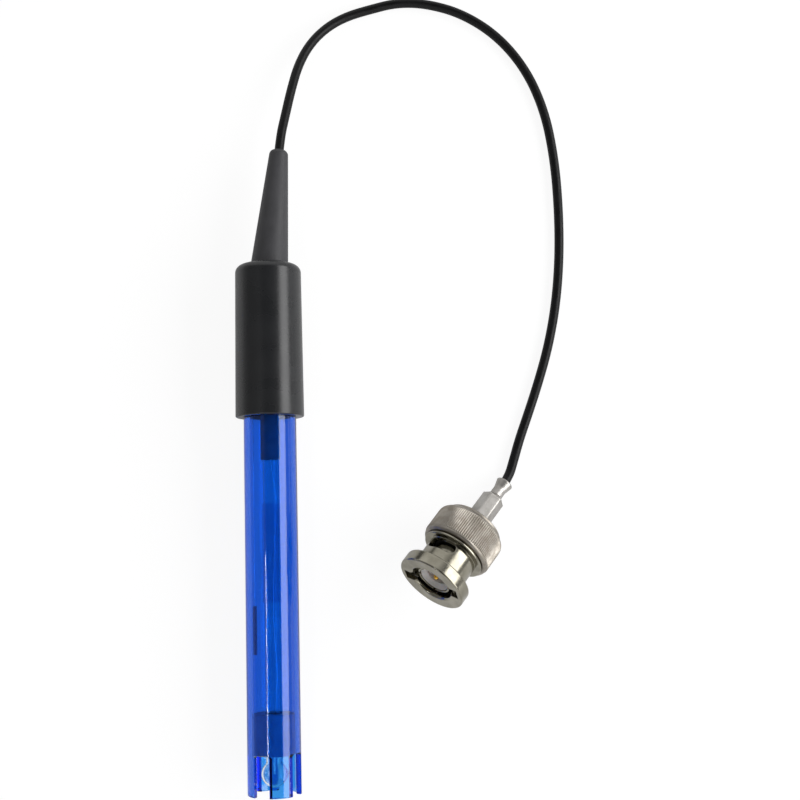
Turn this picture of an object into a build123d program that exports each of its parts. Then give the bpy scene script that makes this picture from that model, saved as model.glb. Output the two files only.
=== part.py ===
from build123d import *
import math
import os

# A combination pH electrode with a short lead and a bayonet plug, lying on a table, in millimetres.
# X points right, Y runs from the guard tip towards the lead, Z is up and the table is z = 0.
# The electrode's pieces are drawn upright: z is the height above the guard's rim and -y faces up
# once it lies down. The plug's pieces are drawn with the open face at z = 0, looking along +z, so
# a depth behind the face is a negative z.

# Clearances
GLUE_GAP = 0.04
SEAT_GAP = 0.02
RUNNING_GAP = 0.03
CUT_OVER = 1.0

# Body tube with its guard
TUBE_D = 12.0
TUBE_WALL = 1.2
TUBE_EXPOSED = 84.15
TUBE_IN_CAP_SHARE = 0.611
TUBE_RIM_ROUND = 0.25
SPIGOT_STEP = 0.2
SPIGOT_BELOW_CAP = 0.3
GUARD_SLOTS = 4
GUARD_SLOT_WIDTH = 3.9
GUARD_SLOT_DEPTH = 9.2
GUARD_SLOT_ROUND = 0.8
GUARD_SLOT_TURN = 66.0

# Cap
CAP_LENGTH = 35.4
CAP_BOTTOM_D = 15.7
CAP_TOP_D = 15.2
CAP_TOP_ROUND = 1.8
CAP_EDGE_ROUND_SHARE = 0.18
CAP_TOP_WALL = 3.0

# Strain relief
BOOT_LENGTH = 28.2
BOOT_BASE_D = 8.7
BOOT_MOUTH_D = 4.3
BOOT_MOUTH_ROUND = 1.2
BOOT_LEAN = 5.0
BOOT_OFFSET = 0.35
BOOT_DROOP = 3.1
BOOT_NECK_D = 6.0
BOOT_ROOT_D = 8.6
BOOT_ROOT_THICKNESS = 1.5
BOOT_SOCKET = 3.0

# Glass electrode with its wire and sleeves; a share is of the tube's length outside the cap
STEM_D = 3.7
STEM_WALL = 0.35
STEM_IN_CAP = 3.4
BULB_D = 5.9
BULB_WALL = 0.35
BULB_HEIGHT = 4.5
BULB_NECK_ROUND = 0.7
SLEEVE_WALL = 0.25
SLEEVE_LOW_SHARE = 0.501
SLEEVE_HIGH_SHARE = 0.765
STOPPER_WALL = 0.35
STOPPER_BELOW_CAP = 9.75
STOPPER_TOP_WALL = 2.0
WIRE_D = 0.4
WIRE_BELOW_RIM = 0.4
WIRE_BEND_RADIUS = 12.0
WIRE_BENDS = [
    (0, 0, 0.87),
    (1.1, -0.3, 0.78),
    (0.2, 0.1, 0.54),
    (0.1, 0, 0.46),
    (0.9, -0.1, 0.31),
    (0.1, 0, 0.177),
]

# Reference side, in the space round the stem
REFERENCE_X = -4.1
REFERENCE_D = 0.45
COATED_D = 1.1
COATED_LOW_SHARE = 0.364
COATED_HIGH_SHARE = 0.492
SEAL_LOW = 8.8
SEAL_HIGH = 17.7
JUNCTION_D = 1.5
JUNCTION_X = 2.9
JUNCTION_Y = 1.3
JUNCTION_PROUD = 0.3
POTTING_BELOW_RIM = 2.6
POTTING_IN_CAP = 2.4
CORE_D = 1.2
PIGTAIL_D = 0.7
PIGTAIL_X = -1.6
PIGTAIL_STRAIGHT_SHARE = 0.32
PIGTAIL_BEND_SHARE = 0.2

# Lead
CABLE_D = 2.2
ARC_SHARE = 0.45

# Plug: bayonet sleeve
BORE_D = 9.8
BORE_CHAMFER = 0.6
FLANGE_D = 16.2
FLANGE_THICKNESS = 3.0
FLANGE_ROUND = 0.35
BARREL_D = 11.8
BARREL_LENGTH = 5.8
BARREL_ROUND = 0.3
COLLAR_D = 14.7
COLLAR_THICKNESS = 0.5
COLLAR_ROUND = 0.2
SKIRT_D = 13.8
SKIRT_LENGTH = 2.05
GROOVE_FLOOR_D = 11.2
GROOVE_WIDTH = 2.3
GROOVE_ENTRY = 2.4
GROOVE_SWEEP = 85.0
GROOVE_TURN = 33.0
GROOVE_STARTS = 2
FACE_NOTCH_D = 14.0
FACE_NOTCH_WIDTH = 2.8
FACE_NOTCH_DEPTH = 1.2
WINDOW_LENGTH = 7.0
WINDOW_WIDTH = 2.7
WINDOW_BEFORE_COLLAR = 0.15

# Plug: knurled nut, spring and washer
NUT_D = 16.6
NUT_LENGTH = 8.8
NUT_FRONT_GAP = 0.25
NUT_FRONT_CHAMFER = 0.45
NUT_SHOULDER_ROUND = 2.5
THRUST_THICKNESS = 0.3
SPRING_HEIGHT = 1.36
SPRING_THICKNESS = 0.3
SPRING_WAVES = 3
SPRING_STEPS = 8
SPRING_EDGE_LIFT = 0.13
SPRING_INNER_D = 8.6
SPRING_OUTER_D = 12.8

# Plug: body, contacts and insulator
BODY_FLANGE_D = 13.2
BODY_FLANGE_THICKNESS = 2.0
BODY_HUB_D = 7.5
BODY_HUB_PROUD = 0.8
BODY_SHOULDER_LENGTH = 1.56
CRIMP_SPIGOT_D = 3.0
CRIMP_SPIGOT_LENGTH = 6.7
CORE_PASSAGE_D = 1.9
PIN_ROOM_D = 5.2
PIN_ROOM_LENGTH = 2.0
CONTACT_D = 8.12
CONTACT_WALL = 0.45
CONTACT_RECESS = 1.1
CONTACT_SEAT = 2.4
CONTACT_ROOT_D = 7.72
CONTACT_ROOM = 0.3
CONTACT_SLOTS = 4
CONTACT_SLOT_WIDTH = 0.5
CONTACT_SLOT_LENGTH = 5.8
CONTACT_SLOT_TURN = 20.0
GASKET_THICKNESS = 1.0
INSULATOR_RECESS = 0.2
INSULATOR_RIM = 0.2
INSULATOR_DISH = 1.0
INSULATOR_CUP_D = 4.9
INSULATOR_CUP_DEPTH = 5.6
INSULATOR_STEP = 0.7
PIN_D = 1.35
PIN_RECESS = 0.3
PIN_ROOT_D = 0.95
PIN_ROOT_PROUD = 0.1
PIN_COLLAR_D = 2.0
PIN_COLLAR_LENGTH = 4.6
PIN_BORE_D = 0.8
PIN_BORE_DEPTH = 2.0

# Plug: crimp
CRIMP_FLATS = 4.9
CRIMP_CORNER_ROUND = 0.5
CRIMP_LENGTH = 7.1
CRIMP_SHOULDER = 0.9
CRIMP_SHOULDER_D = 4.6
CRIMP_SHOULDER_ROUND = 0.3
CRIMP_NECK_D = 3.0
CRIMP_NECK_LENGTH = 2.1
CRIMP_MOUTH_D = 4.0
CRIMP_FLARE = 2.0
CRIMP_MOUTH_WALL = 0.35
BRAID_THICKNESS = 0.2
CABLE_IN_CRIMP = 2.4

# Where the plug lies: the plan position of its middle, and where its nose points
PLUG_X = 44.7
PLUG_Y = -17.2
PLUG_HEADING = -128.4
PLUG_NOSE_UP = 22.6

# The lead's route over the table between its two straight ends
LEAD_ROUTE = [
    (4.35, 82.8, 6.9),
    (5.75, 89.5, 5.9),
    (7.45, 96.1, 4.7),
    (10.2, 101.8, 3.5),
    (14.2, 106.3, 2.5),
    (19.1, 109.4, 1.7),
    (25.0, 111.3, 1.2),
    (31.5, 112.9, 1.1),
    (38.8, 112.5, 1.1),
    (47.5, 109.7, 1.1),
    (56.0, 103.7, 1.1),
    (62.7, 94.8, 1.1),
    (66.8, 84.0, 1.1),
    (68.6, 72.0, 1.1),
    (69.1, 60.0, 1.1),
    (68.8, 48.0, 1.1),
    (67.5, 36.5, 1.1),
    (65.2, 26.0, 1.1),
    (62.3, 17.0, 1.1),
    (59.7, 9.9, 1.1),
    (57.6, 4.4, 1.1),
    (56.1, -0.4, 1.1),
]
LEAD_STRAIGHT_AT_BOOT = 3.0
LEAD_STRAIGHT_AT_PLUG = 1.8

TUBE_R = TUBE_D / 2
TUBE_BORE_R = TUBE_R - TUBE_WALL
TUBE_SPIGOT_R = TUBE_R - SPIGOT_STEP
TUBE_TOP = TUBE_EXPOSED + CAP_LENGTH * TUBE_IN_CAP_SHARE
CAP_TOP = TUBE_EXPOSED + CAP_LENGTH
CAP_CEILING = CAP_TOP - CAP_TOP_WALL
CAP_EDGE_ROUND = (CAP_BOTTOM_D / 2 - TUBE_R) * CAP_EDGE_ROUND_SHARE
STEM_R = STEM_D / 2
STEM_TOP = TUBE_EXPOSED + STEM_IN_CAP
STOPPER_LOW = TUBE_EXPOSED - STOPPER_BELOW_CAP
SLEEVE_LOW = TUBE_EXPOSED * SLEEVE_LOW_SHARE
SLEEVE_HIGH = TUBE_EXPOSED * SLEEVE_HIGH_SHARE
COATED_LOW = TUBE_EXPOSED * COATED_LOW_SHARE
COATED_HIGH = TUBE_EXPOSED * COATED_HIGH_SHARE
POTTING_LOW = TUBE_EXPOSED + POTTING_IN_CAP
POTTING_HIGH = TUBE_TOP - POTTING_BELOW_RIM
WIRE_R = WIRE_D / 2
WIRE_TOP = TUBE_TOP - WIRE_BELOW_RIM
CORE_TOP = CAP_CEILING - BOOT_ROOT_THICKNESS

# Depths behind the plug's face, from the front to the back
BARREL_BACK = FLANGE_THICKNESS + BARREL_LENGTH
WINDOW_DEPTH = BARREL_BACK - WINDOW_BEFORE_COLLAR - WINDOW_WIDTH / 2
COLLAR_BACK = BARREL_BACK + COLLAR_THICKNESS
SKIRT_BACK = COLLAR_BACK + SKIRT_LENGTH
NUT_FRONT = COLLAR_BACK + NUT_FRONT_GAP
NUT_BACK = NUT_FRONT + NUT_LENGTH
THRUST_FRONT = SKIRT_BACK + RUNNING_GAP
THRUST_BACK = THRUST_FRONT + THRUST_THICKNESS
BODY_FLANGE_FRONT = THRUST_BACK + RUNNING_GAP
BODY_FLANGE_BACK = BODY_FLANGE_FRONT + BODY_FLANGE_THICKNESS
BODY_SHOULDER_FRONT = BODY_FLANGE_FRONT - BODY_SHOULDER_LENGTH
SPRING_FRONT = BODY_FLANGE_BACK + SEAT_GAP
SPRING_BACK = SPRING_FRONT + SPRING_HEIGHT
NUT_WALL_FRONT = SPRING_BACK + SEAT_GAP
HUB_BACK = NUT_BACK + BODY_HUB_PROUD
CONTACT_BACK = BODY_SHOULDER_FRONT + CONTACT_SEAT
GASKET_BACK = BODY_SHOULDER_FRONT - SEAT_GAP
CONTACT_FREE_BACK = GASKET_BACK - GASKET_THICKNESS - CONTACT_ROOM
PIN_ROOM_BACK = CONTACT_BACK + PIN_ROOM_LENGTH
CRIMP_FRONT = HUB_BACK + SEAT_GAP
CRIMP_BACK = CRIMP_FRONT + CRIMP_LENGTH
CRIMP_NECK_FRONT = CRIMP_BACK + CRIMP_SHOULDER
CRIMP_NECK_BACK = CRIMP_NECK_FRONT + CRIMP_NECK_LENGTH
PLUG_LENGTH = CRIMP_NECK_BACK + CRIMP_FLARE
INSULATOR_FRONT = CONTACT_RECESS + INSULATOR_RECESS
INSULATOR_BACK = CONTACT_BACK - SEAT_GAP
CUP_FLOOR = INSULATOR_FRONT + INSULATOR_CUP_DEPTH
PIN_COLLAR_FRONT = CUP_FLOOR + INSULATOR_STEP + SEAT_GAP


def electrode_plane():
    """The lying electrode rests on the guard's rim and on the cap's lower edge, a little nose down."""
    tilt = math.atan2(CAP_BOTTOM_D / 2 - TUBE_R, TUBE_EXPOSED)
    along = Vector(0, math.cos(tilt), math.sin(tilt))
    origin_height = (CAP_TOP + BOOT_LENGTH) / 2
    rim_centre = Vector(0, -origin_height * along.Y, TUBE_R * along.Y)
    return Plane(origin=rim_centre, x_dir=(1, 0, 0), z_dir=along)


def boot_plane():
    """The strain relief leans from near the middle of the cap's top, in the upright electrode's frame."""
    lean = math.tan(math.radians(BOOT_LEAN))
    droop = math.tan(math.radians(BOOT_DROOP))
    return Plane(origin=(BOOT_OFFSET, 0, CAP_TOP), x_dir=(1, 0, -lean), z_dir=(lean, droop, 1))


def plug_plane(nut):
    """The plug lies on its nut's rear edge, nose up, with its middle over the named plan position."""
    heading = math.radians(PLUG_HEADING)
    rise = math.radians(PLUG_NOSE_UP)
    nose = Vector(math.cos(rise) * math.cos(heading), math.cos(rise) * math.sin(heading), math.sin(rise))
    side = Vector(-math.sin(heading), math.cos(heading), 0)
    turned_nut = Plane(origin=(0, 0, 0), x_dir=side, z_dir=nose).location * nut
    face = Vector(PLUG_X, PLUG_Y, 0) + nose * (PLUG_LENGTH / 2)
    face.Z = -turned_nut.bounding_box().min.Z
    return Plane(origin=face, x_dir=side, z_dir=nose)


def turned(outline, rounds=()):
    """A solid of revolution about Z from an outline of (radius, z) corners; some corners rounded."""
    face = make_face(Polyline(*outline, close=True))
    for corner, radius in rounds:
        face = fillet(face.vertices().sort_by_distance((*corner, 0))[0], radius)
    return revolve(Plane.XZ * face, Axis.Z)


def ring(inner_r, outer_r, low, high):
    """A plain ring or tube between two heights."""
    return turned([(inner_r, low), (outer_r, low), (outer_r, high), (inner_r, high)])


def rod(radius, low, high, x=0.0, y=0.0):
    """A plain round rod between two heights."""
    return Pos(x, y, (low + high) / 2) * Cylinder(radius, high - low)


def bent_rod(radius, points, bend_radius):
    """A round wire or tube that follows straight runs joined by arcs."""
    path = FilletPolyline(*points, radius=bend_radius)
    start = Plane(origin=path @ 0, z_dir=path % 0)
    return sweep(start * Circle(radius), path=path)


def body_tube():
    bottom_corners = [((TUBE_BORE_R, 0), TUBE_RIM_ROUND), ((TUBE_R, 0), TUBE_RIM_ROUND)]
    shank_top = TUBE_EXPOSED - SPIGOT_BELOW_CAP
    outline = [
        (TUBE_BORE_R, 0),
        (TUBE_R, 0),
        (TUBE_R, shank_top),
        (TUBE_SPIGOT_R, shank_top),
        (TUBE_SPIGOT_R, TUBE_TOP),
        (TUBE_BORE_R, TUBE_TOP),
    ]
    window = RectangleRounded(GUARD_SLOT_WIDTH, 2 * GUARD_SLOT_DEPTH, GUARD_SLOT_ROUND)
    slot = extrude(Plane.YZ * window, TUBE_R + CUT_OVER)
    slots = PolarLocations(0, GUARD_SLOTS, GUARD_SLOT_TURN) * slot
    return turned(outline, bottom_corners) - slots


def cap():
    bottom_r = CAP_BOTTOM_D / 2
    top_r = CAP_TOP_D / 2
    socket_r = TUBE_SPIGOT_R + GLUE_GAP
    hole_r = BOOT_NECK_D / 2
    outline = [
        (socket_r, TUBE_EXPOSED),
        (bottom_r, TUBE_EXPOSED),
        (top_r, CAP_TOP),
        (hole_r, CAP_TOP),
        (hole_r, CAP_CEILING),
        (TUBE_BORE_R, CAP_CEILING),
        (TUBE_BORE_R, TUBE_TOP),
        (socket_r, TUBE_TOP),
    ]
    rounds = [
        ((socket_r, TUBE_EXPOSED), CAP_EDGE_ROUND),
        ((bottom_r, TUBE_EXPOSED), CAP_EDGE_ROUND),
        ((top_r, CAP_TOP), CAP_TOP_ROUND),
    ]
    return turned(outline, rounds)


def strain_relief():
    base_r = BOOT_BASE_D / 2
    mouth_r = BOOT_MOUTH_D / 2
    spread = (base_r - mouth_r) / BOOT_LENGTH
    outline = [
        (0, -CUT_OVER),
        (base_r + spread * CUT_OVER, -CUT_OVER),
        (mouth_r, BOOT_LENGTH),
        (0, BOOT_LENGTH),
    ]
    cone = turned(outline, [((mouth_r, BOOT_LENGTH), BOOT_MOUTH_ROUND)])
    below_top = rod(BOOT_BASE_D, CAP_TOP - 2 * CUT_OVER, CAP_TOP)
    neck = rod(BOOT_NECK_D / 2 - SEAT_GAP, CAP_CEILING, CAP_TOP)
    root = rod(BOOT_ROOT_D / 2, CORE_TOP, CAP_CEILING)
    socket = rod(CABLE_D / 2 + SEAT_GAP, BOOT_LENGTH - BOOT_SOCKET, BOOT_LENGTH + CUT_OVER)
    boot = boot_plane().location
    return boot * cone - below_top + neck + root - boot * socket


def bulb_form(stem_r, bulb_r, bottom_gap):
    """The filled outline of the blown glass: a round bulb running into the stem."""
    bulb = Pos(0, 0, BULB_HEIGHT) * Sphere(bulb_r)
    stem = rod(stem_r, BULB_HEIGHT, STEM_TOP + bottom_gap)
    form = bulb + stem
    neck = form.edges().filter_by(GeomType.CIRCLE).group_by(Axis.Z)[-2]
    return fillet(neck, BULB_NECK_ROUND)


def glass_electrode():
    outer = bulb_form(STEM_R, BULB_D / 2, 0)
    inner = bulb_form(STEM_R - STEM_WALL, BULB_D / 2 - BULB_WALL, CUT_OVER)
    return outer - inner


def measuring_wire():
    bends = [(x, y, TUBE_EXPOSED * share) for x, y, share in WIRE_BENDS]
    points = [(0, 0, WIRE_TOP), *bends, (0, 0, BULB_HEIGHT)]
    return bent_rod(WIRE_R, points, WIRE_BEND_RADIUS)


def reference_wire():
    thin = rod(REFERENCE_D / 2, COATED_HIGH, WIRE_TOP, REFERENCE_X)
    coated = rod(COATED_D / 2, COATED_LOW, COATED_HIGH, REFERENCE_X)
    return thin + coated


def stem_sleeve():
    inner_r = STEM_R + SEAT_GAP
    return ring(inner_r, inner_r + SLEEVE_WALL, SLEEVE_LOW, SLEEVE_HIGH)


def stopper_outer_r():
    return STEM_R + SEAT_GAP + STOPPER_WALL


def stem_stopper():
    top = STEM_TOP + SEAT_GAP
    outer = rod(stopper_outer_r(), STOPPER_LOW, top + STOPPER_TOP_WALL)
    stem_hole = rod(STEM_R + SEAT_GAP, STOPPER_LOW - CUT_OVER, top)
    wire_hole = rod(WIRE_R + SEAT_GAP, STOPPER_LOW, top + STOPPER_TOP_WALL + CUT_OVER)
    return outer - stem_hole - wire_hole


def end_seal():
    plug = rod(TUBE_BORE_R - SEAT_GAP, SEAL_LOW, SEAL_HIGH)
    stem_hole = rod(STEM_R + SEAT_GAP, SEAL_LOW - CUT_OVER, SEAL_HIGH + CUT_OVER)
    junction_r = JUNCTION_D / 2 + SEAT_GAP
    junction_hole = rod(junction_r, SEAL_LOW - CUT_OVER, SEAL_HIGH + CUT_OVER, JUNCTION_X, JUNCTION_Y)
    return plug - stem_hole - junction_hole


def porous_junction():
    return rod(JUNCTION_D / 2, SEAL_LOW - JUNCTION_PROUD, SEAL_HIGH, JUNCTION_X, JUNCTION_Y)


def potting():
    plug = rod(TUBE_BORE_R - SEAT_GAP, POTTING_LOW, POTTING_HIGH)
    stopper_top = STEM_TOP + STOPPER_TOP_WALL + 2 * SEAT_GAP
    stopper_hole = rod(stopper_outer_r() + SEAT_GAP, POTTING_LOW - CUT_OVER, stopper_top)
    wire_hole = rod(WIRE_R + SEAT_GAP, POTTING_LOW, POTTING_HIGH + CUT_OVER)
    reference_r = REFERENCE_D / 2 + SEAT_GAP
    reference_hole = rod(reference_r, POTTING_LOW - CUT_OVER, POTTING_HIGH + CUT_OVER, REFERENCE_X)
    return plug - stopper_hole - wire_hole - reference_hole


def coax_core():
    return rod(CORE_D / 2, WIRE_TOP, CORE_TOP)


def braid_pigtail():
    height = CORE_TOP - WIRE_TOP
    straight = height * PIGTAIL_STRAIGHT_SHARE
    points = [
        (PIGTAIL_X, 0, CORE_TOP),
        (PIGTAIL_X, 0, CORE_TOP - straight),
        (REFERENCE_X, 0, WIRE_TOP + straight),
        (REFERENCE_X, 0, WIRE_TOP),
    ]
    return bent_rod(PIGTAIL_D / 2, points, height * PIGTAIL_BEND_SHARE)


def cam_groove():
    """One inside groove, entered at angle 0: a straight entry, a ramp and the window it ends in."""
    bore_r = BORE_D / 2
    floor_r = GROOVE_FLOOR_D / 2
    slice_length = floor_r + CUT_OVER
    entry_slice = Pos(slice_length / 2, 0, 0) * Box(slice_length, GROOVE_WIDTH, 2 * GROOVE_ENTRY)
    entry = ring(bore_r - CUT_OVER, floor_r, -GROOVE_ENTRY, CUT_OVER) & entry_slice
    drop = WINDOW_DEPTH - GROOVE_ENTRY + GROOVE_WIDTH / 2
    inner_r = bore_r - CUT_OVER / 2
    middle_r = (inner_r + floor_r) / 2
    helix = Helix(pitch=drop * 360 / GROOVE_SWEEP, height=drop, radius=middle_r)
    start = Plane(origin=helix @ 0, x_dir=(1, 0, 0), z_dir=helix % 0)
    ramp = sweep(start * Rectangle(floor_r - inner_r, GROOVE_WIDTH), path=helix, is_frenet=True)
    outline = SlotOverall(WINDOW_LENGTH, WINDOW_WIDTH)
    window = extrude(Plane.YZ * outline, BARREL_D / 2 + CUT_OVER)
    detent = Pos(0, 0, -WINDOW_DEPTH) * Rot(0, 0, -GROOVE_SWEEP)
    notch = Box(FACE_NOTCH_D / 2, FACE_NOTCH_WIDTH, 2 * FACE_NOTCH_DEPTH)
    entry += Pos(FACE_NOTCH_D / 4, 0, 0) * notch
    return entry + detent * ramp + detent * window


def bayonet_sleeve():
    bore_r = BORE_D / 2
    flange_r = FLANGE_D / 2
    barrel_r = BARREL_D / 2
    collar_r = COLLAR_D / 2
    skirt_r = SKIRT_D / 2 - SEAT_GAP
    outline = [
        (bore_r, 0),
        (flange_r, 0),
        (flange_r, -FLANGE_THICKNESS),
        (barrel_r, -FLANGE_THICKNESS),
        (barrel_r, -BARREL_BACK),
        (collar_r, -BARREL_BACK),
        (collar_r, -COLLAR_BACK),
        (skirt_r, -COLLAR_BACK),
        (skirt_r, -SKIRT_BACK),
        (bore_r, -SKIRT_BACK),
    ]
    rounds = [
        ((bore_r, 0), BORE_CHAMFER),
        ((flange_r, 0), FLANGE_ROUND),
        ((flange_r, -FLANGE_THICKNESS), FLANGE_ROUND),
        ((barrel_r, -FLANGE_THICKNESS), BARREL_ROUND),
        ((collar_r, -BARREL_BACK), COLLAR_ROUND),
    ]
    grooves = PolarLocations(0, GROOVE_STARTS, GROOVE_TURN) * cam_groove()
    return turned(outline, rounds) - grooves


def knurled_nut():
    nut_r = NUT_D / 2
    chamfer_r = nut_r - NUT_FRONT_CHAMFER
    skirt_r = SKIRT_D / 2
    hub_r = BODY_HUB_D / 2 + 2 * RUNNING_GAP
    outline = [
        (skirt_r, -NUT_FRONT),
        (chamfer_r, -NUT_FRONT),
        (nut_r, -NUT_FRONT - NUT_FRONT_CHAMFER),
        (nut_r, -NUT_BACK),
        (hub_r, -NUT_BACK),
        (hub_r, -NUT_WALL_FRONT),
        (skirt_r, -NUT_WALL_FRONT),
    ]
    return turned(outline, [((nut_r, -NUT_BACK), NUT_SHOULDER_ROUND)])


def thrust_washer():
    outer_r = BODY_FLANGE_D / 2
    return ring(BORE_D / 2, outer_r, -THRUST_BACK, -THRUST_FRONT)


def wave_washer():
    """A flat ring bent into waves about its mean circle, one wave after another."""
    mean_r = (SPRING_INNER_D + SPRING_OUTER_D) / 4
    width = (SPRING_OUTER_D - SPRING_INNER_D) / 2
    swing = (SPRING_HEIGHT - SPRING_THICKNESS) / 2 - SPRING_EDGE_LIFT
    middle = -(SPRING_FRONT + SPRING_BACK) / 2
    wave_turn = 2 * math.pi / SPRING_WAVES
    points = []
    for step in range(SPRING_STEPS + 1):
        turn = wave_turn * step / SPRING_STEPS
        height = middle + swing * math.sin(SPRING_WAVES * turn)
        points.append((mean_r * math.cos(turn), mean_r * math.sin(turn), height))
    climb = swing * SPRING_WAVES / mean_r
    leave = (-math.sin(wave_turn), math.cos(wave_turn), climb)
    path = Spline(*points, tangents=[(0, 1, climb), leave])
    start = Plane(origin=path @ 0, x_dir=(1, 0, 0), z_dir=path % 0)
    wave = sweep(start * Rectangle(width, SPRING_THICKNESS), path=path)
    waves = PolarLocations(0, SPRING_WAVES) * wave
    return waves[0].fuse(*waves[1:])


def plug_body():
    contact_r = CONTACT_ROOT_D / 2 + SEAT_GAP
    shoulder_r = BORE_D / 2 - 2 * RUNNING_GAP
    flange_r = BODY_FLANGE_D / 2
    hub_r = BODY_HUB_D / 2
    outline = [
        (contact_r, -BODY_SHOULDER_FRONT),
        (shoulder_r, -BODY_SHOULDER_FRONT),
        (shoulder_r, -BODY_FLANGE_FRONT),
        (flange_r, -BODY_FLANGE_FRONT),
        (flange_r, -BODY_FLANGE_BACK),
        (hub_r, -BODY_FLANGE_BACK),
        (hub_r, -HUB_BACK),
        (CRIMP_SPIGOT_D / 2, -HUB_BACK),
        (CRIMP_SPIGOT_D / 2, -HUB_BACK - CRIMP_SPIGOT_LENGTH),
        (CORE_PASSAGE_D / 2, -HUB_BACK - CRIMP_SPIGOT_LENGTH),
        (CORE_PASSAGE_D / 2, -PIN_ROOM_BACK),
        (PIN_ROOM_D / 2, -PIN_ROOM_BACK),
        (PIN_ROOM_D / 2, -CONTACT_BACK),
        (contact_r, -CONTACT_BACK),
    ]
    return turned(outline, [((hub_r, -HUB_BACK), BODY_HUB_PROUD / 3)])


def outer_contact():
    outer_r = CONTACT_D / 2
    inner_r = outer_r - CONTACT_WALL
    root_r = CONTACT_ROOT_D / 2
    outline = [
        (inner_r, -CONTACT_RECESS),
        (outer_r, -CONTACT_RECESS),
        (outer_r, -CONTACT_FREE_BACK),
        (root_r, -CONTACT_FREE_BACK),
        (root_r, -CONTACT_BACK),
        (inner_r, -CONTACT_BACK),
    ]
    sleeve = turned(outline)
    slot_middle = CONTACT_RECESS + CONTACT_SLOT_LENGTH / 2
    blade = Pos(outer_r / 2, 0, -slot_middle) * Box(
        outer_r + CUT_OVER, CONTACT_SLOT_WIDTH, CONTACT_SLOT_LENGTH
    )
    return sleeve - PolarLocations(0, CONTACT_SLOTS, CONTACT_SLOT_TURN) * blade


def gasket():
    inner_r = CONTACT_ROOT_D / 2 + SEAT_GAP
    outer_r = BORE_D / 2 - 5 * RUNNING_GAP
    return ring(inner_r, outer_r, -GASKET_BACK, GASKET_THICKNESS - GASKET_BACK)


def insulator():
    outer_r = CONTACT_D / 2 - CONTACT_WALL - SEAT_GAP
    cup_r = INSULATOR_CUP_D / 2
    pin_r = PIN_ROOT_D / 2 + SEAT_GAP
    collar_r = PIN_COLLAR_D / 2 + SEAT_GAP
    outline = [
        (outer_r - INSULATOR_RIM, -INSULATOR_FRONT),
        (outer_r, -INSULATOR_FRONT - INSULATOR_RIM),
        (outer_r, -INSULATOR_BACK),
        (collar_r, -INSULATOR_BACK),
        (collar_r, SEAT_GAP - PIN_COLLAR_FRONT),
        (pin_r, SEAT_GAP - PIN_COLLAR_FRONT),
        (pin_r, -CUP_FLOOR),
        (cup_r, -CUP_FLOOR),
        (cup_r, -INSULATOR_FRONT - INSULATOR_DISH),
    ]
    return turned(outline)


def centre_pin():
    pin_r = PIN_D / 2
    tip = -(INSULATOR_FRONT + PIN_RECESS)
    root_front = PIN_ROOT_PROUD - CUP_FLOOR
    shank = rod(pin_r, root_front, tip - pin_r)
    root = rod(PIN_ROOT_D / 2, -PIN_COLLAR_FRONT, root_front)
    dome = Pos(0, 0, tip - pin_r) * Sphere(pin_r)
    collar_back = PIN_COLLAR_FRONT + PIN_COLLAR_LENGTH
    collar = rod(PIN_COLLAR_D / 2, -collar_back, -PIN_COLLAR_FRONT)
    wire_bore = rod(PIN_BORE_D / 2, -collar_back - CUT_OVER, PIN_BORE_DEPTH - collar_back)
    return shank + dome + root + collar - wire_bore


def crimp_bore_r():
    return CRIMP_SPIGOT_D / 2 + SEAT_GAP + BRAID_THICKNESS + SEAT_GAP


def crimp_ferrule():
    """A ferrule pressed to a hexagon over the braid, with a round neck and a flared mouth."""
    flats = RegularPolygon(CRIMP_FLATS / 2, 6, major_radius=False)
    flats = fillet(flats.vertices(), CRIMP_CORNER_ROUND)
    hexagon = Pos(0, 0, -CRIMP_BACK) * extrude(flats, CRIMP_LENGTH)
    neck_r = CRIMP_NECK_D / 2
    mouth_r = CRIMP_MOUTH_D / 2
    cable_r = CABLE_D / 2 + SEAT_GAP
    shoulder_r = CRIMP_SHOULDER_D / 2
    outline = [
        (0, CRIMP_SHOULDER - CRIMP_BACK),
        (shoulder_r, CRIMP_SHOULDER - CRIMP_BACK),
        (shoulder_r, -CRIMP_BACK),
        (neck_r, -CRIMP_NECK_FRONT),
        (neck_r, -CRIMP_NECK_BACK),
        (mouth_r, -PLUG_LENGTH),
        (0, -PLUG_LENGTH),
    ]
    rounds = [
        ((shoulder_r, -CRIMP_BACK), CRIMP_SHOULDER_ROUND),
        ((neck_r, -CRIMP_NECK_BACK), CRIMP_FLARE),
    ]
    tail = turned(outline, rounds)
    braid_room = rod(crimp_bore_r(), -CRIMP_BACK, CUT_OVER - CRIMP_FRONT)
    cable_room = rod(cable_r, -PLUG_LENGTH - CUT_OVER, -CRIMP_BACK)
    flare_outline = [
        (0, -CRIMP_NECK_BACK),
        (cable_r, -CRIMP_NECK_BACK),
        (mouth_r - CRIMP_MOUTH_WALL, -PLUG_LENGTH),
        (0, -PLUG_LENGTH),
    ]
    return hexagon + tail - braid_room - cable_room - turned(flare_outline)


def cable_braid():
    inner_r = CRIMP_SPIGOT_D / 2 + SEAT_GAP
    return ring(inner_r, inner_r + BRAID_THICKNESS, SEAT_GAP - CRIMP_BACK, -CRIMP_FRONT)


def arc_radii(points):
    """For each corner of a route, the arc that its two runs leave room for."""
    radii = []
    for before, corner, after in zip(points, points[1:], points[2:]):
        run_in = corner - before
        run_out = after - corner
        half_turn = math.radians(run_in.get_angle(run_out)) / 2
        radii.append(ARC_SHARE * min(run_in.length, run_out.length) / math.tan(half_turn))
    return radii


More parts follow.
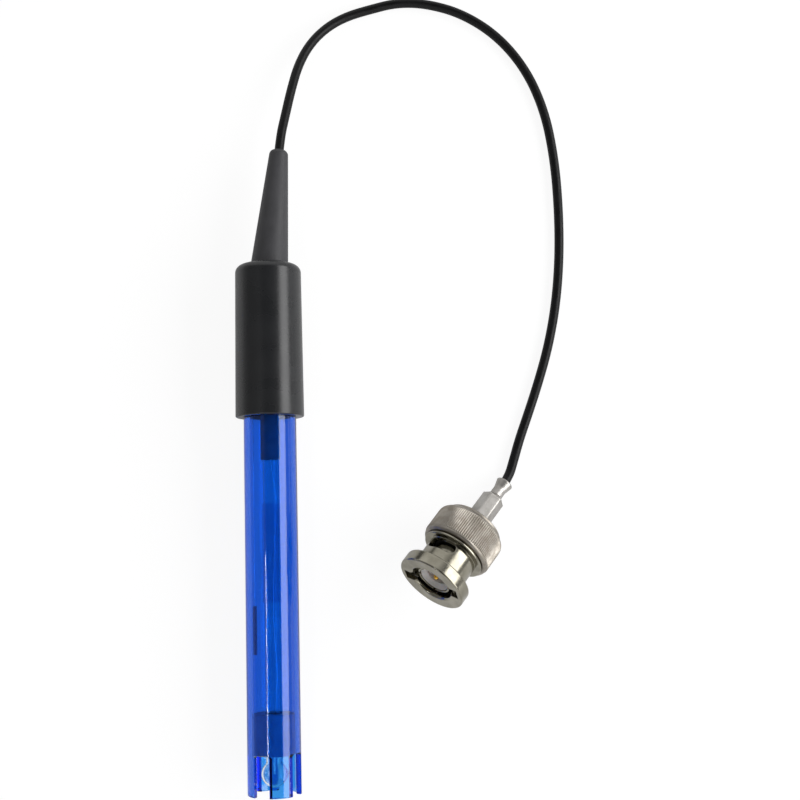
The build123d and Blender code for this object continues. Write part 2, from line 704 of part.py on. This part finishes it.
def lead_cable(electrode, plug):
    """The lead, from inside the strain relief's mouth round its loop into the crimp ferrule."""
    boot = electrode.location * boot_plane().location
    ends = [BOOT_LENGTH - BOOT_SOCKET, BOOT_LENGTH + LEAD_STRAIGHT_AT_BOOT]
    boot_end = [Vector((boot * Pos(0, 0, height)).position) for height in ends]
    depths = [PLUG_LENGTH + LEAD_STRAIGHT_AT_PLUG, PLUG_LENGTH - CABLE_IN_CRIMP]
    plug_end = [Vector((plug.location * Pos(0, 0, -depth)).position) for depth in depths]
    points = boot_end + [Vector(*point) for point in LEAD_ROUTE] + plug_end
    radii = arc_radii(points)
    runs = [(b - a).length for a, b in zip(points, points[1:])]
    cable = bent_rod(CABLE_D / 2, points, radii)
    path_length = FilletPolyline(*points, radius=radii).length
    section = math.pi * (CABLE_D / 2) ** 2
    print("lead ends", [tuple(round(v, 3) for v in p) for p in boot_end + plug_end])
    print("lead runs", [round(run, 1) for run in runs])
    print("lead radii", [round(radius, 1) for radius in radii])
    print("lead length", round(path_length, 1), "volume share", round(cable.volume / path_length / section, 5))
    return cable


ELECTRODE_PIECES = {
    "body_tube": body_tube,
    "cap": cap,
    "strain_relief": strain_relief,
    "glass_electrode": glass_electrode,
    "measuring_wire": measuring_wire,
    "reference_wire": reference_wire,
    "stem_sleeve": stem_sleeve,
    "stem_stopper": stem_stopper,
    "end_seal": end_seal,
    "porous_junction": porous_junction,
    "potting": potting,
    "coax_core": coax_core,
    "braid_pigtail": braid_pigtail,
}
PLUG_PIECES = {
    "bayonet_sleeve": bayonet_sleeve,
    "knurled_nut": knurled_nut,
    "thrust_washer": thrust_washer,
    "wave_washer": wave_washer,
    "plug_body": plug_body,
    "outer_contact": outer_contact,
    "gasket": gasket,
    "insulator": insulator,
    "centre_pin": centre_pin,
    "crimp_ferrule": crimp_ferrule,
    "cable_braid": cable_braid,
}

os.makedirs("parts", exist_ok=True)
electrode_frame = electrode_plane()
plug_frame = plug_plane(knurled_nut())
for name, make in ELECTRODE_PIECES.items():
    export_step(electrode_frame.location * make(), f"parts/{name}.step")
for name, make in PLUG_PIECES.items():
    export_step(plug_frame.location * make(), f"parts/{name}.step")
export_step(lead_cable(electrode_frame, plug_frame), "parts/lead_cable.step")
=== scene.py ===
import math

import bmesh
import bpy
from mathutils import Matrix, Vector


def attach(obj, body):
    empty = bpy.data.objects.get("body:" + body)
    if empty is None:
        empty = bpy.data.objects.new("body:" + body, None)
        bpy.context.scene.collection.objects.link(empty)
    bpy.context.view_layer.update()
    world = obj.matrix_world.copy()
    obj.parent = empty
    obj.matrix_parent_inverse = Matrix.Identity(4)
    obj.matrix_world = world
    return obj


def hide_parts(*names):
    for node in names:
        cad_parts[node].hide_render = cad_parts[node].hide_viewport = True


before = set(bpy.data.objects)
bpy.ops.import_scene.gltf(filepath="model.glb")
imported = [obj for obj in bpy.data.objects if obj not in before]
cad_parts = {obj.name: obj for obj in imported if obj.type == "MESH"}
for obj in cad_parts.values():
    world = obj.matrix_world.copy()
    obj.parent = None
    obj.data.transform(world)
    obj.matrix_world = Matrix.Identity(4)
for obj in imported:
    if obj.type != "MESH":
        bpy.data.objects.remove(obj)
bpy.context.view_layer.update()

# A pH electrode with a blue see-through body, a black cap, a thin lead and a nickel-plated bayonet plug.
# Sizes are in millimetres until a piece's mesh is made; Blender's own unit is the metre.
MM = 0.001

# Where the electrode lies: the middle of the guard's rim and the direction of its axis
RIM_CENTRE = Vector((0.0, -73.8572, 5.9986))
ELECTRODE_TILT = 1.2594

# Where the plug lies: the middle of its open face and the direction of its nose
PLUG_FACE = Vector((35.7341, -28.5121, 13.9457))
PLUG_HEADING = -128.4
PLUG_NOSE_UP = 22.6


def frame_along(origin, axis, side):
    """A frame at origin whose z is the piece's axis and whose x is the given side."""
    across = axis.cross(side)
    turn = Matrix((side, across, axis)).transposed().to_4x4()
    return Matrix.Translation(origin * MM) @ turn


def electrode_frame():
    tilt = math.radians(ELECTRODE_TILT)
    return frame_along(RIM_CENTRE, Vector((0, math.cos(tilt), math.sin(tilt))), Vector((1, 0, 0)))


def plug_frame():
    heading = math.radians(PLUG_HEADING)
    rise = math.radians(PLUG_NOSE_UP)
    level = Vector((math.cos(heading), math.sin(heading), 0))
    nose = level * math.cos(rise) + Vector((0, 0, math.sin(rise)))
    return frame_along(PLUG_FACE, nose, Vector((-math.sin(heading), math.cos(heading), 0)))


ELECTRODE = electrode_frame()
PLUG = plug_frame()

# Camera, straight above and leaning 7.9 degrees towards the lead, as in the photograph
CAMERA_PLACE = Vector((0.02993, -0.02707, 0.30030))
CAMERA_LEAN = 7.9
CAMERA_ROLL = -1.423
CAMERA_LENS = 57.825
CAMERA_SENSOR = 36.0


def camera():
    lean = math.radians(CAMERA_LEAN)
    roll = math.radians(CAMERA_ROLL)
    look = Vector((0, math.sin(lean), -math.cos(lean)))
    level_up = Vector((0, math.cos(lean), math.sin(lean)))
    side = Vector((1, 0, 0))
    right = side * math.cos(roll) + level_up * math.sin(roll)
    up = level_up * math.cos(roll) - side * math.sin(roll)
    data = bpy.data.cameras.new("camera")
    data.lens = CAMERA_LENS
    data.sensor_width = CAMERA_SENSOR
    data.clip_start = 0.01
    data.clip_end = 20
    eye = bpy.data.objects.new("camera", data)
    eye.matrix_world = Matrix.Translation(CAMERA_PLACE) @ Matrix((right, up, -look)).transposed().to_4x4()
    bpy.context.scene.collection.objects.link(eye)
    bpy.context.scene.camera = eye


camera()

# The lead: the points of its route, from inside the strain relief's mouth into the crimp ferrule
LEAD_D = 2.2
LEAD_ROUTE = [
    (2.543, 70.755, 7.82),
    (3.065, 76.73, 7.628),
    (4.35, 82.8, 6.9),
    (5.75, 89.5, 5.9),
    (7.45, 96.1, 4.7),
    (10.2, 101.8, 3.5),
    (14.2, 106.3, 2.5),
    (19.1, 109.4, 1.7),
    (25.0, 111.3, 1.2),
    (31.5, 112.9, 1.1),
    (38.8, 112.5, 1.1),
    (47.5, 109.7, 1.1),
    (56.0, 103.7, 1.1),
    (62.7, 94.8, 1.1),
    (66.8, 84.0, 1.1),
    (68.6, 72.0, 1.1),
    (69.1, 60.0, 1.1),
    (68.8, 48.0, 1.1),
    (67.5, 36.5, 1.1),
    (65.2, 26.0, 1.1),
    (62.3, 17.0, 1.1),
    (59.7, 9.9, 1.1),
    (57.6, 4.4, 1.1),
    (56.1, -0.4, 1.1),
    (54.698, -4.586, 1.237),
    (52.29, -7.624, 2.851),
]


def lead_curve():
    curve = bpy.data.curves.new("lead", "CURVE")
    curve.dimensions = "3D"
    curve.resolution_u = 16
    curve.bevel_depth = LEAD_D / 2 * MM
    curve.bevel_resolution = 8
    curve.use_fill_caps = True
    spline = curve.splines.new("NURBS")
    spline.points.add(len(LEAD_ROUTE) - 1)
    for point, place in zip(spline.points, LEAD_ROUTE):
        point.co = (*(Vector(place) * MM), 1)
    spline.order_u = 3
    spline.use_endpoint_u = True
    lead = bpy.data.objects.new("lead", curve)
    bpy.context.scene.collection.objects.link(lead)
    return lead


# Materials


def linear(code):
    """The linear colour, with full alpha, of an sRGB hex value."""
    channels = [int(code[place:place + 2], 16) / 255 for place in (1, 3, 5)]
    return (*(c / 12.92 if c <= 0.04045 else ((c + 0.055) / 1.055) ** 2.4 for c in channels), 1.0)


def add(tree, kind, feeds=None, **settings):
    """Adds a node. Settings are its own, and feeds are its inputs: values, or sockets to link from."""
    node = tree.nodes.new(kind)
    for name, value in settings.items():
        setattr(node, name, value)
    for name, value in (feeds or {}).items():
        if isinstance(value, bpy.types.NodeSocket):
            tree.links.new(value, node.inputs[name])
        else:
            node.inputs[name].default_value = value
    return node


def placed(tree, place):
    """The surface point in a piece's own frame, in metres, with z along the piece's axis."""
    point = add(tree, "ShaderNodeTexCoord").outputs["Object"]
    feeds = {"Vector": point, "Location": place.translation, "Rotation": place.to_euler()}
    return add(tree, "ShaderNodeMapping", feeds, vector_type="TEXTURE").outputs["Vector"]


def round_the_axis(tree, place):
    """Coordinates that don't change round the axis: the radius and the depth."""
    local = placed(tree, place)
    flat = add(tree, "ShaderNodeVectorMath", {0: local, 1: (1, 1, 0)}, operation="MULTIPLY").outputs[0]
    radius = add(tree, "ShaderNodeVectorMath", {0: flat}, operation="LENGTH").outputs["Value"]
    depth = add(tree, "ShaderNodeSeparateXYZ", {0: local}).outputs["Z"]
    return add(tree, "ShaderNodeCombineXYZ", {"X": radius, "Y": depth}).outputs[0]


def noise(tree, size_mm, vector=None, detail=2.0):
    """A noise between 0 and 1 whose patches are about size_mm across."""
    vector = vector or add(tree, "ShaderNodeTexCoord").outputs["Object"]
    feeds = {"Vector": vector, "Scale": 1 / (size_mm * MM), "Detail": detail}
    return add(tree, "ShaderNodeTexNoise", feeds).outputs["Fac"]


def blend(tree, share, first, second):
    """The colour between two: first at a share of 0 and second at 1. Either may be a socket."""
    return add(tree, "ShaderNodeMix", {0: share, 6: first, 7: second}, data_type="RGBA").outputs[2]


def larger(tree, first, *others):
    """The largest of some values, each a number or a socket."""
    for other in others:
        first = add(tree, "ShaderNodeMath", {0: first, 1: other}, operation="MAXIMUM").outputs[0]
    return first


# A material's patches: how fine their noise is, and where on it the first value turns into the second
PATCH_DETAIL = 4.0
PATCH_FROM = 0.3
PATCH_TO = 0.7
EDGE_SAMPLES = 8


def finish(name, colours, patch_mm, roughness, relief=(), constants=None, absorbs=None, edge_mm=0.0):
    """One material. Its colour and roughness wander between two values over patches of patch_mm,
    and each relief is a pattern with its real height in mm. Constants go on the shader's sockets,
    absorbs is the colour left by its inside with the density per metre, and edge_mm is how far its
    edges look rounded."""
    material = bpy.data.materials.new(name)
    material.use_nodes = True
    tree = material.node_tree
    shader = tree.nodes["Principled BSDF"]
    patches = noise(tree, patch_mm, detail=PATCH_DETAIL)
    steps = {"Value": patches, "From Min": PATCH_FROM, "From Max": PATCH_TO}
    share = add(tree, "ShaderNodeMapRange", steps, interpolation_type="SMOOTHSTEP").outputs["Result"]
    mix = blend(tree, share, *(linear(colour) for colour in colours))
    tree.links.new(mix, shader.inputs["Base Color"])
    span = {"Value": share, "To Min": roughness[0], "To Max": roughness[1]}
    tree.links.new(add(tree, "ShaderNodeMapRange", span).outputs["Result"], shader.inputs["Roughness"])
    normal = None
    if edge_mm:
        rounded = add(tree, "ShaderNodeBevel", {"Radius": edge_mm * MM}, samples=EDGE_SAMPLES)
        normal = rounded.outputs["Normal"]
    for pattern, height in relief:
        feeds = {"Height": pattern(tree), "Distance": height * MM}
        if normal:
            feeds["Normal"] = normal
        normal = add(tree, "ShaderNodeBump", feeds).outputs["Normal"]
    if normal:
        tree.links.new(normal, shader.inputs["Normal"])
    for socket, value in (constants or {}).items():
        shader.inputs[socket].default_value = value
    if absorbs:
        inside = add(tree, "ShaderNodeVolumeAbsorption", {"Color": absorbs[0], "Density": absorbs[1]})
        tree.links.new(inside.outputs[0], tree.nodes["Material Output"].inputs["Volume"])
    return material


def grain(size_mm):
    return lambda tree: noise(tree, size_mm)


def turning(pitch_mm, place):
    """Fine rings left by a lathe tool, round the axis of place."""
    return lambda tree: noise(tree, pitch_mm, round_the_axis(tree, place), detail=1.0)


# The scale of drawing's noise along its streaks, where it is 1 across them
STREAK_SCALE = 0.03


def drawn(pitch_mm, place):
    """Faint streaks along the axis, from drawing or from a long mould."""
    def streaks(tree):
        feeds = {0: placed(tree, place), 1: (1, 1, STREAK_SCALE)}
        stretched = add(tree, "ShaderNodeVectorMath", feeds, operation="MULTIPLY").outputs[0]
        return noise(tree, pitch_mm, stretched)
    return streaks


METAL = {"Metallic": 1.0}

# Clear blue polycarbonate, injection moulded: deep even blue with sharp highlights and faint streaks
blue_polycarbonate = finish(
    "blue_polycarbonate_moulded", ("#95CEF0", "#90C9EC"), 14.0, (0.04, 0.055),
    [(drawn(0.9, ELECTRODE), 0.0003)],
    {"Transmission Weight": 1.0, "IOR": 1.585},
    ((0.02, 0.66, 0.954, 1.0), 1650.0),
)
# Black ABS, injection moulded in a polished tool: glossy, with hardly seen orange peel and streaks
black_abs = finish(
    "black_abs_polished_tool", ("#232426", "#27282A"), 9.0, (0.24, 0.31),
    [(grain(1.2), 0.004), (drawn(0.5, ELECTRODE), 0.0012)],
    {"IOR": 1.54},
)
# Soft PVC, moulded in an eroded tool: dark grey, matt, with a fine even grain
grey_pvc = finish(
    "soft_pvc_eroded_tool", ("#3B3B3E", "#444447"), 5.0, (0.5, 0.62),
    [(grain(0.22), 0.012)],
    {"IOR": 1.52},
)
# Black PVC jacket, extruded: satin, with a slight waviness
black_jacket = finish(
    "black_pvc_extruded", ("#060607", "#0A0A0C"), 3.0, (0.4, 0.5),
    [(grain(0.5), 0.006)],
    {"IOR": 1.36},
)
# Borosilicate glass, blown: clear, with a smooth fire-polished surface
blown_glass = finish(
    "borosilicate_blown", ("#E6EEF4", "#EEF4F8"), 8.0, (0.0, 0.015),
    [(grain(3.0), 0.004)],
    {"Transmission Weight": 1.0, "IOR": 1.48},
)
# Brass turned on an automatic lathe, bright nickel plated: warm mirror with fine rings and olive reflections
bright_nickel = finish(
    "brass_turned_bright_nickel", ("#A29E90", "#8E8A7C"), 3.0, (0.13, 0.22),
    [(turning(0.11, PLUG), 0.004)], METAL, edge_mm=0.22,
)
# Brass with a rolled straight knurl, nickel plated: satin, as the rolled teeth scatter the light
satin_nickel = finish(
    "brass_knurled_satin_nickel", ("#A6A097", "#938C82"), 2.0, (0.34, 0.46),
    [(grain(0.16), 0.006)], METAL, edge_mm=0.05,
)
# Brass ferrule pressed in a hexagonal die, tin-nickel plated: paler and duller, with press marks along it
pressed_nickel = finish(
    "brass_pressed_dull_nickel", ("#BDBAB6", "#AAA7A2"), 2.5, (0.34, 0.46),
    [(drawn(0.3, PLUG), 0.004), (grain(0.4), 0.006)], METAL, edge_mm=0.35,
)
# White PTFE, turned: waxy white with hardly seen tool rings
white_ptfe = finish(
    "ptfe_turned", ("#D6D2CF", "#C8C5C0"), 3.0, (0.4, 0.5),
    [(turning(0.2, PLUG), 0.003)],
    {"IOR": 1.38, "Subsurface Weight": 0.1, "Subsurface Scale": 0.001},
)
# Brass pin with a hard gold plate: a warm yellow mirror
gold_plate = finish(
    "brass_gold_plated", ("#E0AE4A", "#D29F3C"), 1.0, (0.18, 0.26),
    [(turning(0.1, PLUG), 0.003)], METAL,
)
# Silicone rubber, moulded and matt. Its dark grey is painted shade of the deep plug bore it sits in, used in
# place of the gasket's own colour
silicone_painted_shade = finish(
    "silicone_moulded", ("#343331", "#292826"), 1.5, (0.55, 0.65),
    [(grain(0.2), 0.006)],
)
# Silver wire, drawn: bright, with streaks along it
silver_wire = finish(
    "silver_drawn", ("#FAFAF8", "#F2F2F0"), 2.0, (0.16, 0.24),
    [(drawn(0.1, ELECTRODE), 0.002)], METAL,
)
# Silver chloride grown on silver wire: blue grey and dull, with a powdery grain
silver_chloride = finish(
    "silver_chloride_coat", ("#8A8FA8", "#7C8198"), 0.8, (0.6, 0.75),
    [(grain(0.15), 0.02)],
)
# Thin polyolefin sleeve, shrunk on: clear, with a low index, so that it only tints the stem a little
blue_sleeve = finish(
    "blue_polyolefin_sleeve", ("#EAF0FA", "#E2EAF8"), 4.0, (0.03, 0.08),
    [(grain(0.8), 0.01)],
    {"Transmission Weight": 1.0, "IOR": 1.06},
)
# Dark rubber, moulded: dull blue grey, with a slight bloom
black_rubber = finish(
    "rubber_moulded_black", ("#56646E", "#64727C"), 2.0, (0.55, 0.7),
    [(grain(0.3), 0.012)],
)
# Grey silicone, cast in place: dull and cloudy
grey_silicone = finish(
    "silicone_cast_grey", ("#C6CFD8", "#B5C0CC"), 3.0, (0.45, 0.6),
    [(grain(0.6), 0.02)],
)
# Alumina, sintered: chalk white with open pores
porous_alumina = finish(
    "alumina_sintered", ("#E6E3DA", "#D2CEC2"), 0.3, (0.8, 0.9),
    [(grain(0.12), 0.03)],
)
# Epoxy, poured: dark and glossy
poured_epoxy = finish(
    "epoxy_poured_dark", ("#17181D", "#1F2026"), 4.0, (0.15, 0.25),
    [(grain(2.0), 0.02)],
)
# Polyethylene core of the lead, extruded: milky white
white_polyethylene = finish(
    "polyethylene_extruded", ("#E4E1D8", "#D9D6CC"), 2.0, (0.35, 0.45),
    [(grain(0.4), 0.005)],
)
# Tinned copper strands: grey and broken up into fine wires
tinned_copper = finish(
    "tinned_copper_strands", ("#BDB8B0", "#8E8A84"), 0.25, (0.3, 0.5),
    [(grain(0.12), 0.03)], METAL,
)
# Spring steel, stamped: grey with a rolled surface
spring_steel = finish(
    "spring_steel_stamped", ("#9C9C9C", "#838385"), 2.0, (0.28, 0.38),
    [(grain(0.3), 0.004)], METAL,
)

# How high above the guard's rim the reference wire's coat ends, and the polish of the bare wire over it
COATED_TOP = 41.4
BARE_ROUGHNESS = 0.2


def bare_above(coated, bare, height, place):
    """The coated wire's material with the bare wire's shader above a height in mm along place."""
    tree = coated.node_tree
    shader = tree.nodes["Principled BSDF"]
    silver = add(tree, "ShaderNodeBsdfPrincipled", {
        "Base Color": linear(bare), "Roughness": BARE_ROUGHNESS, **METAL,
    }).outputs[0]
    along = add(tree, "ShaderNodeSeparateXYZ", {0: placed(tree, place)}).outputs["Z"]
    above = add(tree, "ShaderNodeMath", {0: along, 1: height * MM}, operation="GREATER_THAN").outputs[0]
    surface = add(tree, "ShaderNodeMixShader", {0: above, 1: shader.outputs[0], 2: silver}).outputs[0]
    tree.links.new(surface, tree.nodes["Material Output"].inputs["Surface"])


bare_above(silver_chloride, "#EFEFEB", COATED_TOP, ELECTRODE)

CAD_FINISHES = {
    "body_tube": blue_polycarbonate,
    "cap": black_abs,
    "strain_relief": grey_pvc,
    "glass_electrode": blown_glass,
    "measuring_wire": silver_wire,
    "reference_wire": silver_chloride,
    "stem_sleeve": blue_sleeve,
    "stem_stopper": black_rubber,
    "end_seal": grey_silicone,
    "porous_junction": porous_alumina,
    "potting": poured_epoxy,
    "coax_core": white_polyethylene,
    "braid_pigtail": tinned_copper,
    "cable_braid": tinned_copper,
    "lead_cable": black_jacket,
    "bayonet_sleeve": bright_nickel,
    "knurled_nut": satin_nickel,
    "thrust_washer": bright_nickel,
    "wave_washer": spring_steel,
    "plug_body": bright_nickel,
    "outer_contact": bright_nickel,
    # The gasket's dark grey is painted shade of the plug's bore
    "gasket": silicone_painted_shade,
    "insulator": white_ptfe,
    "centre_pin": gold_plate,
    "crimp_ferrule": pressed_nickel,
}


def coat(piece, material):
    piece.data.materials.clear()
    piece.data.materials.append(material)


for node_name, material in CAD_FINISHES.items():
    coat(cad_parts[node_name], material)

# Mesh pieces


def arc(centre, radius, start, end, steps):
    """The points of a round corner in an outline of (radius, height), with its angles in degrees."""
    turns = [math.radians(start + (end - start) * step / steps) for step in range(steps + 1)]
    return [(centre[0] + radius * math.cos(t), centre[1] + radius * math.sin(t)) for t in turns]


def lathe(name, outline, place, segments, cut=None):
    """A closed outline turned round the z axis of place. cut gives the radius left at a segment."""
    work = bmesh.new()
    rings = []
    for radius, height in outline:
        ring = []
        for segment in range(segments):
            turn = 2 * math.pi * segment / segments
            left = cut(radius, segment) if cut else radius
            point = Vector((left * math.cos(turn), left * math.sin(turn), height))
            ring.append(work.verts.new(place @ (point * MM)))
        rings.append(ring)
    for lower, upper in zip(rings, rings[1:] + rings[:1]):
        for here in range(segments):
            after = (here + 1) % segments
            work.faces.new((lower[here], lower[after], upper[after], upper[here]))
    bmesh.ops.recalc_face_normals(work, faces=work.faces)
    mesh = bpy.data.meshes.new(name)
    work.to_mesh(mesh)
    work.free()
    piece = bpy.data.objects.new(name, mesh)
    bpy.context.scene.collection.objects.link(piece)
    return piece


def smooth(piece, sharp_over):
    """Smooth shading, with the edges kept crisp that turn by more than sharp_over degrees."""
    piece.data.shade_smooth()
    piece.data.set_sharp_from_angle(angle=math.radians(sharp_over))


# The coupling nut with its straight knurl: 104 teeth, one every 0.5 mm, with steep flanks
KNURL_TEETH = 104
KNURL_STEPS = 6
KNURL_DEPTH = 0.2
KNURL_FLANK = 1.35
NUT_R = 8.3
NUT_BORE_R = 6.9
NUT_HUB_R = 3.81
NUT_FRONT = -9.55
NUT_WALL_FRONT = -15.11
NUT_REAR = -18.35
NUT_SHARP_OVER = 30


def knurl_cut(radius, segment):
    share = segment % KNURL_STEPS / KNURL_STEPS
    slope = abs(2 * share - 1)
    return min(radius, NUT_R - KNURL_DEPTH * min(1.0, KNURL_FLANK * (1 - slope)))


def coupling_nut():
    root = NUT_R - KNURL_DEPTH
    # From the bore's front edge over the front lip, the knurl and the rear lip to the hub's bore
    outline = [
        (NUT_BORE_R, NUT_FRONT), *arc((7.45, -10.2), 0.65, 90, 0, 8), (root, -10.35), (NUT_R, -10.55),
        *arc((6.9, -15.75), 1.4, 0, -80, 12),
        (6.55, -17.2), (6.9, -17.4), (6.9, -17.85), (6.7, -18.05), (6.2, -18.2), (5.8, NUT_REAR),
        (NUT_HUB_R, NUT_REAR), (NUT_HUB_R, NUT_WALL_FRONT), (NUT_BORE_R, NUT_WALL_FRONT),
    ]
    nut = lathe("coupling_nut_knurled", outline, PLUG, KNURL_TEETH * KNURL_STEPS, knurl_cut)
    coat(nut, satin_nickel)
    smooth(nut, NUT_SHARP_OVER)
    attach(nut, "coupling_nut")
    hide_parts("knurled_nut")
    return nut


nut = coupling_nut()

lead = lead_curve()
lead.data.materials.append(black_jacket)
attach(lead, "electrode")
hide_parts("lead_cable")

# Studio: a white table that keeps a faint shadow, a dark room with pale ends, and two soft lamps.
# The table lies FLOOR_DROP under the part. To the camera and through clear pieces the share FLOOR_GLOW
# of it is a glow of strength FLOOR_LIGHT, and in mirrors FLOOR_MIRRORED times that share is.
FLOOR_HALF = 3.0
FLOOR_DROP = 0.02
FLOOR_GLOW = 0.8
FLOOR_LIGHT = 1.12
FLOOR_MIRRORED = 0.3
FLOOR_COLOUR = "#F2F2F2"

# The room's levels, and the directions at which each pale band starts and is full: the left side by
# the share of the direction towards x, both ends by the share along y, and the skirting by the height
ROOM_DARK = 0.04
ROOM_PALE = 0.85
LEFT_BAND = (-0.26, -0.40)
LEFT_LEVEL = 0.2
END_BAND = (0.45, 0.75)
LOW_BAND = (0.35, 0.2)
LOW_LEVEL = 0.38

# Lamps: degrees off the vertical, towards which side in degrees from x, metres away, width across and
# length along the electrode in metres, watts, and the y they aim at. LAMP_AIM is its x and z.
LAMPS = {
    "right_softbox": (59, 0, 0.6, (0.34, 0.8), 3.4, 0.0),
    "left_strip": (22, 180, 0.7, (0.01, 0.166), 0.2, -0.12),
}
LAMP_AIM = (0.02, 0.01)


def studio_floor():
    mesh = bpy.data.meshes.new("table")
    corners = [(FLOOR_HALF * x, FLOOR_HALF * y) for x, y in ((-1, -1), (1, -1), (1, 1), (-1, 1))]
    mesh.from_pydata([(x, y, -FLOOR_DROP * MM) for x, y in corners], [], [(0, 1, 2, 3)])
    floor = bpy.data.objects.new("table", mesh)
    bpy.context.scene.collection.objects.link(floor)
    material = bpy.data.materials.new("white_table")
    material.use_nodes = True
    tree = material.node_tree
    tree.nodes.clear()
    paint = add(tree, "ShaderNodeBsdfDiffuse", {"Color": linear(FLOOR_COLOUR)}).outputs[0]
    glow = add(tree, "ShaderNodeEmission", {"Color": (1, 1, 1, 1), "Strength": FLOOR_LIGHT}).outputs[0]
    path = add(tree, "ShaderNodeLightPath").outputs
    feeds = {0: path["Is Glossy Ray"], 1: FLOOR_MIRRORED}
    mirrored = add(tree, "ShaderNodeMath", feeds, operation="MULTIPLY").outputs[0]
    seen = larger(tree, mirrored, path["Is Camera Ray"], path["Is Transmission Ray"])
    share = add(tree, "ShaderNodeMath", {0: seen, 1: FLOOR_GLOW}, operation="MULTIPLY").outputs[0]
    surface = add(tree, "ShaderNodeMixShader", {0: share, 1: paint, 2: glow}).outputs[0]
    add(tree, "ShaderNodeOutputMaterial", {"Surface": surface})
    mesh.materials.append(material)


def softbox(name, angle, azimuth, distance, size, power, along):
    """A soft lamp that looks down at a point along the table."""
    data = bpy.data.lights.new(name, "AREA")
    data.shape = "RECTANGLE"
    data.size, data.size_y = size
    data.energy = power
    lamp = bpy.data.objects.new(name, data)
    off = math.radians(angle)
    turn = math.radians(azimuth)
    away = Vector((math.sin(off) * math.cos(turn), math.sin(off) * math.sin(turn), math.cos(off)))
    side = Vector((-math.sin(turn), math.cos(turn), 0))
    basis = Matrix((side.cross(away), side, away)).transposed().to_4x4()
    aim = Vector((LAMP_AIM[0], along, LAMP_AIM[1]))
    lamp.matrix_world = Matrix.Translation(aim + away * distance) @ basis
    bpy.context.scene.collection.objects.link(lamp)


def ramp(tree, value, band, level=1.0):
    """Nothing at the band's first end and level at its second."""
    feeds = {"Value": value, "From Min": band[0], "From Max": band[1], "To Min": 0.0, "To Max": level}
    return add(tree, "ShaderNodeMapRange", feeds).outputs["Result"]


def studio_room():
    world = bpy.data.worlds.new("room")
    bpy.context.scene.world = world
    world.use_nodes = True
    tree = world.node_tree
    tree.nodes.clear()
    direction = add(tree, "ShaderNodeTexCoord").outputs["Generated"]
    towards = add(tree, "ShaderNodeSeparateXYZ", {0: direction}).outputs
    along = add(tree, "ShaderNodeMath", {0: towards["Y"]}, operation="ABSOLUTE").outputs[0]
    left = ramp(tree, towards["X"], LEFT_BAND, LEFT_LEVEL)
    ends = ramp(tree, along, END_BAND)
    low = ramp(tree, towards["Z"], LOW_BAND, LOW_LEVEL)
    feeds = {"Value": larger(tree, left, ends, low), "To Min": ROOM_DARK, "To Max": ROOM_PALE}
    level = add(tree, "ShaderNodeMapRange", feeds).outputs["Result"]
    path = add(tree, "ShaderNodeLightPath").outputs
    strength = larger(tree, level, path["Is Camera Ray"], path["Is Transmission Ray"])
    room = add(tree, "ShaderNodeBackground", {"Color": (1, 1, 1, 1), "Strength": strength}).outputs[0]
    add(tree, "ShaderNodeOutputWorld", {"Surface": room})


studio_floor()
studio_room()
for lamp_name, lamp in LAMPS.items():
    softbox(lamp_name, *lamp)
bpy.context.scene.view_settings.view_transform = "Standard"
